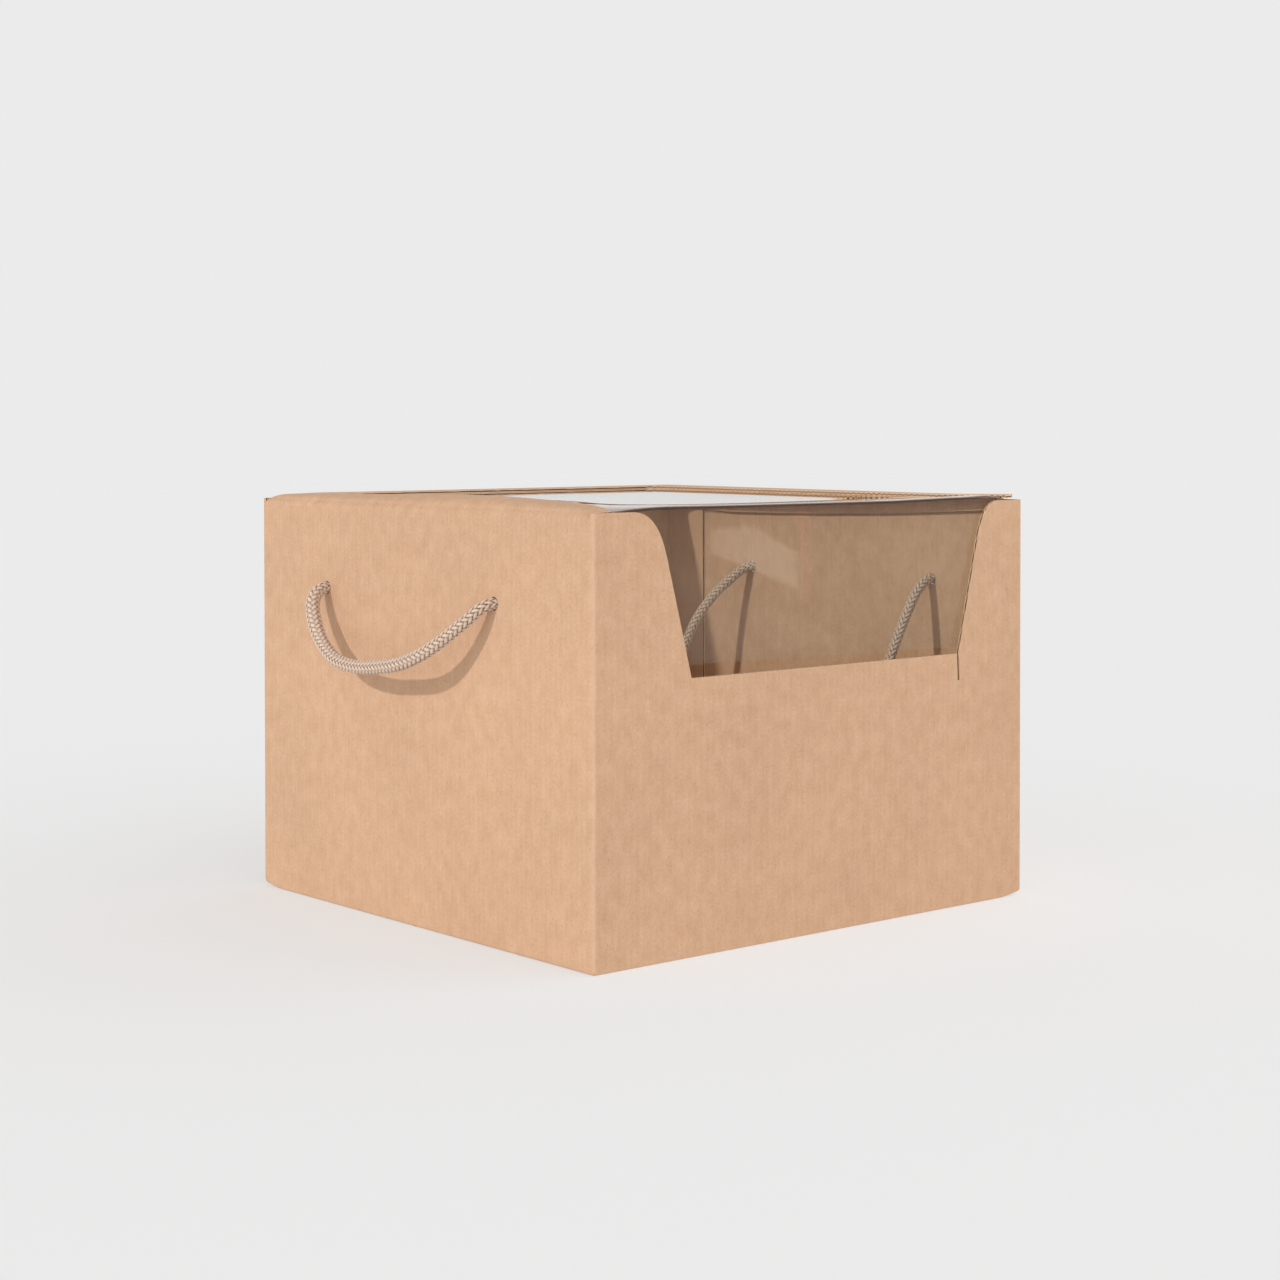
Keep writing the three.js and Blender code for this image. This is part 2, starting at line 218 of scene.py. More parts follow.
def creasedKraftLiner():
    # Unbleached kraft paper glued over corrugations: dull, softly mottled, with fine fibres that run
    # with the flutes, faint bands where the flutes show through, and paler paper along the folds, partly
    # crushed and partly a painted highlight
    look = kraftLook
    material = newMaterial("creased_kraft_liner")
    spot = readAttribute(material, "sheetPlace", "Vector")
    crease = readAttribute(material, "crease")
    mottle = sheetNoise(material, spot, *look["mottle"], 3.0)
    cloud = sheetNoise(material, spot, *look["clouds"])
    fibre = sheetNoise(material, spot, *look["fibres"])
    fleck = sheetNoise(material, spot, *look["flecks"], 1.0)
    grain = sheetNoise(material, spot, *look["grain"], 3.0)
    flute = calculate(material, "SINE", fluteTurn(material, readParts(material, spot)[0]))

    # The paper's own colour, between dark and light mottle
    tone = calculate(material, "MULTIPLY_ADD", mottle, 1.4, -0.2)
    colour = tint(material, tone, look["dark"], look["light"])
    colour = tint(material, 0.62, colour, look["paper"])
    # Clouds, fibres, grain and flutes shade it by these shares
    wide = calculate(material, "MULTIPLY_ADD", cloud, 0.16, 0.92)
    streak = calculate(material, "MULTIPLY_ADD", fibre, 0.12, 0.94)
    fine = calculate(material, "MULTIPLY_ADD", grain, 0.34, 0.83)
    band = calculate(material, "MULTIPLY_ADD", flute, 0.012, 1.0)
    shade = calculate(material, "MULTIPLY", calculate(material, "MULTIPLY", wide, streak),
                      calculate(material, "MULTIPLY", fine, band))
    grey = addNode(material, "ShaderNodeCombineColor", links={0: shade, 1: shade, 2: shade})
    colour = tint(material, 1.0, colour, grey.outputs[0], "MULTIPLY")
    # Dark flecks, and pale paper along the folds: crushed paper together with a painted highlight
    darkFleck = calculate(material, "GREATER_THAN", fleck, 0.71)
    colour = tint(material, calculate(material, "MULTIPLY", darkFleck, 0.28), colour, look["fibre"])
    colour = tint(material, calculate(material, "MULTIPLY", crease, 0.45), colour, look["light"])

    height = calculate(material, "MULTIPLY_ADD", flute, 0.25, fibre)
    bump = addNode(material, "ShaderNodeBump", {}, {"Strength": 0.35, "Distance": 0.05 * mm},
                   {"Height": height})
    shader = addNode(material, "ShaderNodeBsdfPrincipled", {},
                     {"Roughness": look["roughness"], "IOR": 1.5, "Specular IOR Level": 0.3},
                     {"Base Color": colour, "Normal": bump.outputs[0]})
    return showSurface(material, shader)


def cutCorrugatedEdge():
    # Die-cut edge of E-flute board: two pale paper lines with the medium's wave, and painted shade for the
    # open hollows between
    material = newMaterial("cut_corrugated_edge")
    spot = readAttribute(material, "sheetPlace", "Vector")
    along, _, inward = readParts(material, spot)
    wander = sheetNoise(material, spot, 9 * mm, 9 * mm, 1.0)
    turn = calculate(material, "MULTIPLY_ADD", wander, 2.5, fluteTurn(material, along))
    wave = calculate(material, "MULTIPLY_ADD", calculate(material, "SINE", turn), 0.30, 0.5)
    layers = calculate(material, "DIVIDE", inward, boardSheet["thickness"])
    across = calculate(material, "FRACT", calculate(material, "ADD", layers, 0.001))
    # The medium waves between the two liners
    fromWave = calculate(material, "ABSOLUTE", calculate(material, "SUBTRACT", across, wave))
    fromMiddle = calculate(material, "ABSOLUTE", calculate(material, "SUBTRACT", across, 0.5))
    medium = calculate(material, "LESS_THAN", fromWave, 0.13)
    liner = calculate(material, "GREATER_THAN", fromMiddle, 0.31)
    paper = calculate(material, "MAXIMUM", medium, liner)
    grain = sheetNoise(material, spot, 0.5 * mm, 0.5 * mm, 2.0)
    pale = tint(material, grain, *kraftLook["cutPaper"])
    # Paper where the liners and medium are, painted shade in the hollows between them
    colour = tint(material, paper, kraftLook["cutHollowShade"], pale)
    shader = addNode(material, "ShaderNodeBsdfPrincipled", {},
                     {"Roughness": 0.95, "IOR": 1.5, "Specular IOR Level": 0.2},
                     {"Base Color": colour})
    return showSurface(material, shader)


filmLook = {
    "ior": 1.22,  # low, as the sheet was lit so as to show little gloss
    "haze": 0.01,
    "hazeColour": "#F4ECE6",
    "roughness": 0.012,
    "tint": (0.955, 0.963, 0.94, 1),
    # Painted shade: a dark line where the sheet bends tightly
    "bendShade": (0.52, 0.46, 0.42, 1),
}


def clearPetFilm():
    # Clear PET sheet: nearly all light goes through, a soft gloss lies over it, it's a little hazy and
    # its bend carries a thin painted dark line for the light that the tight bend turns away
    look = filmLook
    material = newMaterial("clear_pet_film")
    passed = tint(material, readAttribute(material, "bend"), look["tint"], look["bendShade"])
    clear = addNode(material, "ShaderNodeBsdfTransparent", links={"Color": passed})
    gloss = addNode(material, "ShaderNodeBsdfGlossy", {},
                    {"Color": (1, 1, 1, 1), "Roughness": look["roughness"]})
    milk = addNode(material, "ShaderNodeBsdfDiffuse", {}, {"Color": linearColour(look["hazeColour"])})
    # Both sides of the thin sheet have the gloss of its outer side
    fromBehind = addNode(material, "ShaderNodeNewGeometry").outputs["Backfacing"]
    ior = look["ior"]
    ratio = calculate(material, "MULTIPLY_ADD", fromBehind, 1 / ior - ior, ior)
    edge = addNode(material, "ShaderNodeFresnel", {}, {}, {"IOR": ratio})
    body = addNode(material, "ShaderNodeMixShader", {}, {"Fac": look["haze"]},
                   {1: clear.outputs[0], 2: milk.outputs[0]})
    whole = addNode(material, "ShaderNodeMixShader", {}, {},
                    {0: edge.outputs[0], 1: body.outputs[0], 2: gloss.outputs[0]})
    return showSurface(material, whole)


cordLook = {
    "yarn": "#E0C0A6",
    "yarnLight": "#FCE6D2",
    "yarnShade": "#9A6F54",
    # Painted shade deep in the braid, between the strands
    "gap": "#43291C",
    "yarnTwist": 0.45 * mm,
    "fuzz": (0.35 * mm, 1.8 * mm),
    "roughness": 0.75,
}


def braidedCottonCord():
    # Cotton and rayon yarns braided tight: dull with a slight sheen, each strand lined by its yarns
    look = cordLook
    material = newMaterial("braided_cotton_cord")
    spot = readAttribute(material, "strandPlace", "Vector")
    across, along, inward = readParts(material, spot)
    slant = calculate(material, "MULTIPLY_ADD", across, 1.6, along)
    turn = calculate(material, "MULTIPLY", slant, 2 * math.pi / look["yarnTwist"])
    ply = calculate(material, "MULTIPLY_ADD", calculate(material, "SINE", turn), 0.5, 0.5)
    fuzz = sheetNoise(material, spot, *look["fuzz"])
    tone = calculate(material, "MULTIPLY_ADD", fuzz, 1.6, -0.3)
    colour = tint(material, tone, look["yarn"], look["yarnLight"])
    colour = tint(material, calculate(material, "MULTIPLY", ply, 0.24), colour, look["yarnShade"])
    # Painted shade where a strand passes under and along its edges
    colour = tint(material, calculate(material, "MULTIPLY", inward, 0.9), colour, look["gap"])
    bump = addNode(material, "ShaderNodeBump", {}, {"Strength": 0.6, "Distance": 0.12 * mm},
                   {"Height": ply})
    shader = addNode(material, "ShaderNodeBsdfPrincipled", {},
                     {"Roughness": look["roughness"], "IOR": 1.5, "Specular IOR Level": 0.35,
                      "Sheen Weight": 0.25, "Sheen Roughness": 0.4},
                     {"Base Color": colour, "Normal": bump.outputs[0]})
    return showSurface(material, shader)


kraftLiner = creasedKraftLiner()
cutEdge = cutCorrugatedEdge()
petFilm = clearPetFilm()
cottonCord = braidedCottonCord()
print("materials made")


# Small helpers for meshes

def makeObject(name, vertices, faces, materials, faceMaterials=None):
    mesh = bpy.data.meshes.new(name)
    mesh.from_pydata([tuple(v) for v in vertices], [], [tuple(f) for f in faces])
    for material in materials:
        mesh.materials.append(material)
    if faceMaterials is not None:
        mesh.polygons.foreach_set("material_index", faceMaterials)
    mesh.validate()
    piece = bpy.data.objects.new(name, mesh)
    bpy.context.collection.objects.link(piece)
    return piece


def cleanUp(piece, joined=0.001 * mm):
    # Points closer than this are joined, and all faces turned outward
    work = bmesh.new()
    work.from_mesh(piece.data)
    if joined:
        bmesh.ops.remove_doubles(work, verts=work.verts, dist=joined)
    bmesh.ops.recalc_face_normals(work, faces=work.faces)
    work.to_mesh(piece.data)
    work.free()


def writeAttribute(piece, name, kind, values):
    # A value or a vector at each point, which the materials read
    layer = piece.data.attributes.new(name, kind, "POINT")
    layer.data.foreach_set("vector" if kind == "FLOAT_VECTOR" else "value", values)


def gridFaces(first, rows, length, closed=False, flipped=False):
    # Faces between rows of points that follow each other, each row open or closed to a ring
    faces = []
    for row in range(rows - 1):
        for i in range(length if closed else length - 1):
            a = first + row * length + i
            b = first + row * length + (i + 1) % length
            face = (a, b, b + length, a + length)
            faces.append((a, a + length, b + length, b) if flipped else face)
    return faces


def sheetFaces(rows, length):
    # The two sides of a thin sheet, and its rim. The outer side's rows of points come first
    base = rows * length
    sides = gridFaces(0, rows, length) + gridFaces(base, rows, length, flipped=True)
    rim = []
    for row in range(rows - 1):
        for i in (0, length - 1):
            a = row * length + i
            rim.append((a, a + length, base + a + length, base + a))
    for row in (0, rows - 1):
        for a in range(row * length, (row + 1) * length - 1):
            rim.append((a, base + a, base + a + 1, a + 1))
    return sides, rim


def bezier(a, b, c, d, count):
    points = []
    for i in range(count + 1):
        t = i / count
        weights = ((1 - t) ** 3, 3 * t * (1 - t) ** 2, 3 * t * t * (1 - t), t ** 3)
        points.append(tuple(sum(w * p[k] for w, p in zip(weights, (a, b, c, d))) for k in (0, 1)))
    return points


def arc(centre, radius, start, end, count):
    angles = np.radians(np.linspace(start, end, count + 1))
    return [(centre[0] + radius * math.cos(a), centre[1] + radius * math.sin(a)) for a in angles]


def cutter(outline, axis, low, high):
    # A prism whose faces all carry the cut edge. The outline is in X and Y, X and Z, or Y and Z
    order = {"z": (0, 1, 2), "y": (0, 2, 1), "x": (1, 2, 0)}[axis]
    vertices = []
    for level in (low, high):
        for point in outline:
            place = [0.0, 0.0, 0.0]
            for k, value in zip(order, (*point, level)):
                place[k] = value
            vertices.append(place)
    count = len(outline)
    faces = [tuple(range(count)), tuple(range(count, 2 * count))]
    faces += [(i, (i + 1) % count, count + (i + 1) % count, count + i) for i in range(count)]
    tool = makeObject("cutter", vertices, faces, [kraftLiner, cutEdge], [1] * len(faces))
    cleanUp(tool)
    return tool


def cutAway(piece, tools):
    for tool in tools:
        step = piece.modifiers.new("cut", "BOOLEAN")
        step.operation = "DIFFERENCE"
        step.solver = "EXACT"
        step.object = tool
        graph = bpy.context.evaluated_depsgraph_get()
        mesh = bpy.data.meshes.new_from_object(piece.evaluated_get(graph))
        piece.modifiers.clear()
        piece.data = mesh
        bpy.data.objects.remove(tool)


def joinInto(piece, others):
    work = bmesh.new()
    work.from_mesh(piece.data)
    for other in others:
        work.from_mesh(other.data)
        bpy.data.objects.remove(other)
    work.to_mesh(piece.data)
    work.free()


def slab(outline, axis, low, high):
    # A loose flap: liner on its two faces and a cut edge all round
    piece = cutter(outline, axis, low, high)
    which = {"x": 0, "y": 1, "z": 2}[axis]
    for face in piece.data.polygons:
        face.material_index = 0 if abs(face.normal[which]) > 0.5 else 1
    return piece


def smoothBy(piece, degrees):
    piece.data.shade_smooth()
    piece.data.set_sharp_from_angle(angle=math.radians(degrees))


# How the sheet's true surface leaves the ideal planes

lidShape = {
    "lift": 2.65 * mm,  # how far the sprung fold raises the lid beside it
    # The lid is pressed down at the fold's front and rear ends: how far, over what length of the
    # fold, and how fast that fades across the lid
    "frontDip": (2.5 * mm, 9 * mm, 0.75),
    "rearDip": (1.8 * mm, 5 * mm, 1.1),
    "liftPlace": -27 * mm,  # where along the fold it springs most
    "liftFront": 85 * mm,
    "liftRear": 95 * mm,
    "crest": 17 * mm,  # how far in from the fold the lid is highest
    "hornLift": 0.75 * mm,  # the raised corner at the front right, and how far it reaches
    "hornReach": (18 * mm, 26 * mm),
    "tuckCorner": 6 * mm,
    "sideBorder": 22.8 * mm,
    "frontBorder": 10.5 * mm,
    "taper": 200 * mm,
    "backBorder": 12 * mm,
    "windowCorner": 9 * mm,
    "dropEnd": -104 * mm,  # from the fold to here, the lid's ends drop inside the walls
    "stripEnd": 8 * mm,  # how far the fold strip reaches onto the lid
    "stripFoot": 6 * mm,  # and down the wall
}


def lidLift(x, y):
    # How far the lid stands above its ideal plane
    shape = lidShape
    t = max(0.0, (x + halfX) / shape["crest"])
    spread = shape["liftFront"] if y < shape["liftPlace"] else shape["liftRear"]
    along = math.exp(-((y - shape["liftPlace"]) / spread) ** 2)
    fold = shape["lift"] * along * t * math.exp(1 - t)
    reachX, reachY = shape["hornReach"]
    corner = math.exp(-((x - halfX) / reachX) ** 2 - ((y + halfY) / reachY) ** 2)
    dip, length, fade = shape["frontDip"] if y < 0 else shape["rearDip"]
    ends = dip * math.exp(-(max(0.0, halfY - abs(y)) / length) ** 1.5 - (t * fade) ** 2)
    return fold + shape["hornLift"] * corner - ends


def wallGaps(x, y):
    # How far inside each wall's outer face a point lies
    return {"front": y + halfY, "rear": halfY - y, "left": x + halfX, "right": halfX - x}


def wallBow(point):
    # A wall bellies out a little between its folds and carries long shallow ripples
    x, y, z = point
    gaps = wallGaps(x, y)
    wall = min(gaps, key=lambda name: abs(gaps[name]))
    across = x / halfX if wall in ("front", "rear") else y / halfY
    up = max(0.0, min(1.0, z / wallTop))
    room = max(0.0, 1 - across * across) * math.sin(math.pi * min(1.0, up * 0.92 + 0.03))
    seed = {"front": 3.1, "rear": 17.4, "left": 31.9, "right": 47.2}[wall]
    wave = noise.noise(Vector((across * 3.2, up * 2.1, seed)))
    edge = min(1.0, max(0.0, 1 - abs(across)) * 8) * min(1.0, up * 8)
    out = boardSheet["bow"] * room + boardSheet["ripple"] * wave * edge
    outward = {"front": (0, -1, 0), "rear": (0, 1, 0), "left": (-1, 0, 0), "right": (1, 0, 0)}[wall]
    return Vector(outward) * out


def sheetPlaces(piece, onLid=False):
    # Where each point lies on the flat sheet: across the flutes, along them, and through the board
    mesh = piece.data
    count = len(mesh.vertices)
    places = np.zeros((count, 3), np.float32)
    creases = np.zeros(count, np.float32)
    width = 2 * halfX
    depth = 2 * halfY
    for i, vertex in enumerate(mesh.vertices):
        x, y, z = vertex.co
        gaps = wallGaps(x, y)
        if onLid and z > wallTop:
            places[i] = (width + depth + y + halfY, wallTop + x + halfX, lidHigh[2] - z)
            near = min(x + halfX, (lidHigh[0] - x) * 1.2)
        elif onLid:
            places[i] = (width + depth + y + halfY, wallTop + lidHigh[0] + lidHigh[2] - z + halfX,
                         lidHigh[0] - x)
            near = 9 * mm
        elif z < 0.02 * mm or z < 3.1 * mm and min(gaps.values()) > 1.45 * mm:
            places[i] = (depth + halfX - x, -y, z)
            near = 10 * mm
        else:
            wall = min(gaps, key=gaps.get)
            along = {"right": halfY - y, "front": depth + halfX - x,
                     "left": depth + width + y + halfY, "rear": 2 * depth + width + x + halfX}[wall]
            places[i] = (along, z, gaps[wall])
            near = min(sorted(gaps.values())[1], z)
        # Paler near a fold: partly crushed paper, partly a painted highlight
        creases[i] = math.exp(-(max(0.0, near) / boardSheet["foldWearAndHighlight"]) ** 2)
    writeAttribute(piece, "sheetPlace", "FLOAT_VECTOR", places.ravel())
    writeAttribute(piece, "crease", "FLOAT", creases)


def movePoints(piece, shift):
    for vertex in piece.data.vertices:
        vertex.co = vertex.co + shift(vertex.co)


# The carton: walls, base, glue flap and side flaps of the one sheet

cartonShape = {
    # Each shoulder's flat top, the end of its round across and down, and the sill's end, in mm
    "leftShoulder": (20.5, 37.6, 19.0, 50.2),
    "rightShoulder": (16.0, 30.2, 17.7, 42.5),
    "sillDepth": 68.0,
    "slit": (12.0, 1.1, 0.0),  # length, width and lean, in mm
    "hole": 2.9 * mm,
    "holeSpacing": 128 * mm,
    "holeOffset": 4.5 * mm,
    "holeDepth": 39 * mm,
    "glueFlap": 27 * mm,
    "sideFlap": 66 * mm,
    "sideFlapTaper": 22 * mm,
    "seam": (46 * mm, 22 * mm, 14 * mm),  # the locking tongue's half width, reach and slant
    "seamGap": 0.6 * mm,
    "seamDepth": 0.9 * mm,
    # Beside the right wall's raw edge: from the wall's inner face and the rear wall's face, in mm
    "notch": ((-0.7, 1), (-0.5, -0.1), (0.1, -1.2), (0.35, -0.1), (0.4, 1)),
    "cornerRise": 1.8 * mm,  # how far the base turns up at two of its corners
}


def wallRing(radius, sharp):
    # The plan outline, anticlockwise from the front left fold, with its outward directions. The cut
    # corner at the right rear is sharp
    corners = [(-1, -1, 180, radius), (1, -1, 270, radius), (1, 1, 0, sharp), (-1, 1, 90, radius)]
    ends = [3 * mm, 6 * mm]
    ring = []
    for n, (sideX, sideY, start, size) in enumerate(corners):
        centre = Vector((sideX * (halfX - size), sideY * (halfY - size)))
        for angle in np.radians(np.linspace(start, start + 90, 7)):
            outward = Vector((math.cos(angle), math.sin(angle)))
            ring.append((*(centre + size * outward), *outward))
        nextX, nextY, _, nextSize = corners[(n + 1) % 4]
        begin = Vector(ring[-1][:2])
        finish = Vector((nextX * (halfX - nextSize), nextY * (halfY - nextSize))) + nextSize * outward
        length = (finish - begin).length
        inside = np.linspace(10 * mm, length - 10 * mm, round(length / boardSheet["grid"]) - 3)
        for distance in (*ends, *inside, *(length - e for e in reversed(ends))):
            ring.append((*begin.lerp(finish, distance / length), *outward))
    return ring


def insetPoint(station, inset, height):
    x, y, nx, ny = station
    limitX = halfX - inset
    limitY = halfY - inset
    return (max(-limitX, min(limitX, x - nx * inset)),
            max(-limitY, min(limitY, y - ny * inset)), height)


def sleeve():
    thickness = boardSheet["thickness"]
    radius = boardSheet["foldRadius"]
    ring = wallRing(radius, 0.25 * mm)
    bends = [(radius * (1 - math.sin(a)), radius * (1 - math.cos(a)))
             for a in np.radians([0, 22.5, 45, 67.5, 90])]
    heights = [3.2 * mm, 5 * mm, 8 * mm]
    heights += list(np.linspace(12 * mm, wallTop - 8 * mm, 34))
    heights += [wallTop - 4 * mm, wallTop - 2 * mm, wallTop]
    outer = bends + [(0, z) for z in heights]
    inner = [(thickness, z) for z in [thickness, 2.5 * mm] + heights]
    count = len(ring)
    vertices = [insetPoint(s, inset, z) for inset, z in outer for s in ring]
    base = len(vertices)
    vertices += [insetPoint(s, inset, z) for inset, z in inner for s in ring]
    faces = gridFaces(0, len(outer), count, closed=True)
    faces += gridFaces(base, len(inner), count, closed=True, flipped=True)
    kinds = [0] * len(faces)
    outTop = (len(outer) - 1) * count
    inTop = base + (len(inner) - 1) * count
    for i in range(count):
        j = (i + 1) % count
        faces.append((outTop + i, outTop + j, inTop + j, inTop + i))
        kinds.append(1)
    faces.append(tuple(reversed(range(count))))
    faces.append(tuple(base + i for i in range(count)))
    kinds += [0, 0]
    piece = makeObject("carton_board", vertices, faces, [kraftLiner, cutEdge], kinds)
    cleanUp(piece)
    return piece


def windowOutline():
    top = wallTop
    depth = cartonShape["sillDepth"] * mm
    sides = []
    for sign, (flat, bend, bendDepth, sill) in (
            (-1, cartonShape["leftShoulder"]), (1, cartonShape["rightShoulder"])):
        flat, bend, bendDepth, sill = (v * mm for v in (flat, bend, bendDepth, sill))
        lean = (sill - bend) / (depth - bendDepth)
        curve = bezier((flat, 0), (flat + (bend - flat) * 0.55, bendDepth * 0.02),
                       (bend - lean * bendDepth * 0.6, bendDepth * 0.4), (bend, bendDepth), 14)
        points = [(flat, -6 * mm)] + curve + [(sill, depth)]
        sides.append([(sign * (halfX - a), top - b) for a, b in points])
    return sides[0] + sides[1][::-1]


def slitOutline():
    length, width, lean = (v * mm for v in cartonShape["slit"])
    x = halfX - cartonShape["rightShoulder"][3] * mm
    z = wallTop - cartonShape["sillDepth"] * mm
    return [(x - width, z + width), (x + lean - width / 2, z - length),
            (x + lean + width / 2, z - length), (x, z + width)]


def cornerRise(point):
    x, y, z = point
    rise = 0.0
    for cornerX, cornerY in ((-halfX, halfY), (halfX, -halfY)):
        near = max(0.0, 1 - math.hypot(x - cornerX, y - cornerY) / (13 * mm))
        rise += cartonShape["cornerRise"] * near ** 1.3 * max(0.0, 1 - z / (9 * mm))
    return Vector((0, 0, rise))


def cordHoleCutters():
    # One pattern punches both side walls, so that one wall is the other turned half round
    shape = cartonShape
    overcut = boardSheet["overcut"]
    tools = []
    for side in (-1, 1):
        low, high = sorted((side * (innerX - overcut), side * (halfX + overcut)))
        for end in (-1, 1):
            y = -side * (shape["holeOffset"] + end * shape["holeSpacing"] / 2)
            rim = arc((y, wallTop - shape["holeDepth"]), shape["hole"], 0, 360, 28)
            tools.append(cutter(rim[:-1], "x", low, high))
    return tools


def foldStripCutter():
    # Takes off the left wall's top, where the fold strip goes
    foot = wallTop - lidShape["stripFoot"]
    reach = innerY - 0.6 * mm
    top = wallTop + 5 * mm
    return cutter([(-reach, foot), (reach, foot), (reach, top), (-reach, top)], "x",
                  -halfX - boardSheet["overcut"], -innerX + 0.01 * mm)


def flapSeamCutter():
    # Cuts the line where the bottom flaps meet, round the locking tongue
    half, reach, slant = cartonShape["seam"]
    gap = cartonShape["seamGap"] / 2
    line = [(-halfX - 1 * mm, 0), (-half - slant, 0), (-half, -reach), (half, -reach),
            (half + slant, 0), (halfX + 1 * mm, 0)]
    return cutter([(x, y - gap) for x, y in line] + [(x, y + gap) for x, y in line[::-1]],
                  "z", -1 * mm, cartonShape["seamDepth"])


def glueFlap():
    # Its free edge is a little ragged
    edge = innerY - cartonShape["glueFlap"]
    top = wallTop - 1.5 * mm
    ragged = [(edge + 0.25 * mm * noise.noise(Vector((z * 400, 5, 1))), z)
              for z in np.linspace(top - 2.5 * mm, 9.5 * mm, 60)]
    fold = innerY - 0.02 * mm
    return slab([(fold, 4.5 * mm), (fold, top)] + ragged, "x",
                innerX - boardSheet["thickness"], innerX - 0.02 * mm)


def sideFlap(side):
    wall = side * (innerX - 0.05 * mm)
    tip = side * (innerX - cartonShape["sideFlap"])
    y = innerY - 0.2 * mm
    taper = cartonShape["sideFlapTaper"]
    thickness = boardSheet["thickness"]
    return slab([(wall, -y), (tip, -y + taper), (tip, y - taper), (wall, y)],
                "z", thickness + 0.03 * mm, 2 * thickness)


def cartonBoard():
    piece = sleeve()
    front = (-halfY - boardSheet["overcut"], -innerY + boardSheet["overcut"])
    tools = [cutter(windowOutline(), "y", *front), cutter(slitOutline(), "y", *front)]
    tools += cordHoleCutters()
    tools.append(foldStripCutter())
    notch = [(innerX + x * mm, halfY + y * mm) for x, y in cartonShape["notch"]]
    tools.append(cutter(notch, "z", -1 * mm, wallTop + 1 * mm))
    tools.append(flapSeamCutter())
    cutAway(piece, tools)
    joinInto(piece, [glueFlap(), sideFlap(-1), sideFlap(1)])
    sheetPlaces(piece)
    movePoints(piece, wallBow)
    movePoints(piece, cornerRise)
    smoothBy(piece, 32)
    return piece


carton = cartonBoard()
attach(carton, "box")
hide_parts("carton")
print("carton made")


# The lid: a frame of the same sheet, its sprung fold, and its tuck flap

def boardStrip(name, lineAt, stations):
    # A board of even thickness: lineAt(y) gives its outer line as points in X and Z
    thickness = boardSheet["thickness"]
    outer, inner = [], []
    for y in stations:
        line = [Vector(p) for p in lineAt(y)]
        for i, point in enumerate(line):
            run = (line[min(i + 1, len(line) - 1)] - line[max(i - 1, 0)]).normalized()
            outer.append((point[0], y, point[1]))
            inner.append((point[0] + run[1] * thickness, y, point[1] - run[0] * thickness))
    sides, rim = sheetFaces(len(stations), len(line))
    kinds = [0] * len(sides) + [1] * len(rim)
    piece = makeObject(name, outer + inner, sides + rim, [kraftLiner, cutEdge], kinds)
    cleanUp(piece)
    return piece


def tuckCornerTools(low, high):
    # Each rounds one of the lid's corners beside the tuck flap
    radius = lidShape["tuckCorner"]
    edge = lidHigh[0]
    beyond = 3 * mm
    reachOut = beyond / radius
    tools = []
    for end, start in ((-1, 270), (1, 0)):
        centre = (edge - radius, end * (lidHigh[1] - radius))
        curve = arc(centre, radius, start, start + 90, 12)
        ends = [tuple(Vector(p) + (Vector(p) - Vector(centre)) * reachOut)
                for p in (curve[0], curve[-1])]
        outside = (edge + beyond, end * (lidHigh[1] + beyond))
        tools.append(cutter([ends[0], *curve, ends[1], outside], "z", low, high))
    return tools


def lidWindowOutline():
    shape = lidShape
    front = -lidHigh[1]
    back = halfY - shape["backBorder"]
    inner = halfX - shape["sideBorder"]
    flared = halfX - shape["frontBorder"]
    straight = front + shape["taper"]
    bend = front + shape["taper"] * 0.45
    radius = shape["windowCorner"]
    side = [(flared, front - 5 * mm)]
    for i in range(17):
        t = i / 16
        side.append(((1 - t) ** 2 * flared + 2 * t * (1 - t) * inner + t * t * inner,
                     (1 - t) ** 2 * front + 2 * t * (1 - t) * bend + t * t * straight))
    side += arc((inner - radius, back - radius), radius, 0, 90, 10)
    return side + [(-x, y) for x, y in reversed(side)]


tuckShape = {
    "deep": 13 * mm,
    "shallow": 7 * mm,
    "frontInset": 12 * mm,
    "glueFlapGap": 2 * mm,
    "corner": 5 * mm,
}


def tuckCutOutline():
    # What is cut away below the lid at its right edge, to leave the tuck flap
    shape = tuckShape
    front = -halfY + shape["frontInset"]
    back = innerY - cartonShape["glueFlap"] - shape["glueFlapGap"]
    top = lidHigh[2]
    under = top - boardSheet["thickness"] - 0.15 * mm
    radius = shape["corner"]
    deepest = back - 4 * radius
    low = top - shape["deep"]
    shallow = top - shape["shallow"]
    curve = [(front, under)]
    curve += bezier((front, shallow + 2 * mm), (front, shallow + 1 * mm),
                    (front + 2 * mm, shallow), (front + radius, shallow), 5)
    curve += bezier((front + radius, shallow), (front + (deepest - front) * 0.45, low + 1 * mm),
                    (deepest - 3 * radius, low), (deepest, low), 16)[1:]
    curve += bezier((deepest, low), (back - 2 * radius, low), (back, low + 1 * mm),
                    (back, low + 2 * mm + radius), 8)[1:]
    curve.append((back, under))
    side = lidHigh[1] + 4 * mm
    bottom = low - 6 * mm
    return [(-side, under)] + curve + [(side, under), (side, bottom), (-side, bottom)]


def lidShift(point):
    # The panel follows the sprung fold, and the tuck flap less the deeper it hangs
    x, y, z = point
    share = max(0.0, min(1.0, (z - (lidHigh[2] - 6 * mm)) / (4 * mm)))
    return Vector((0, 0, lidLift(x, y) * share))


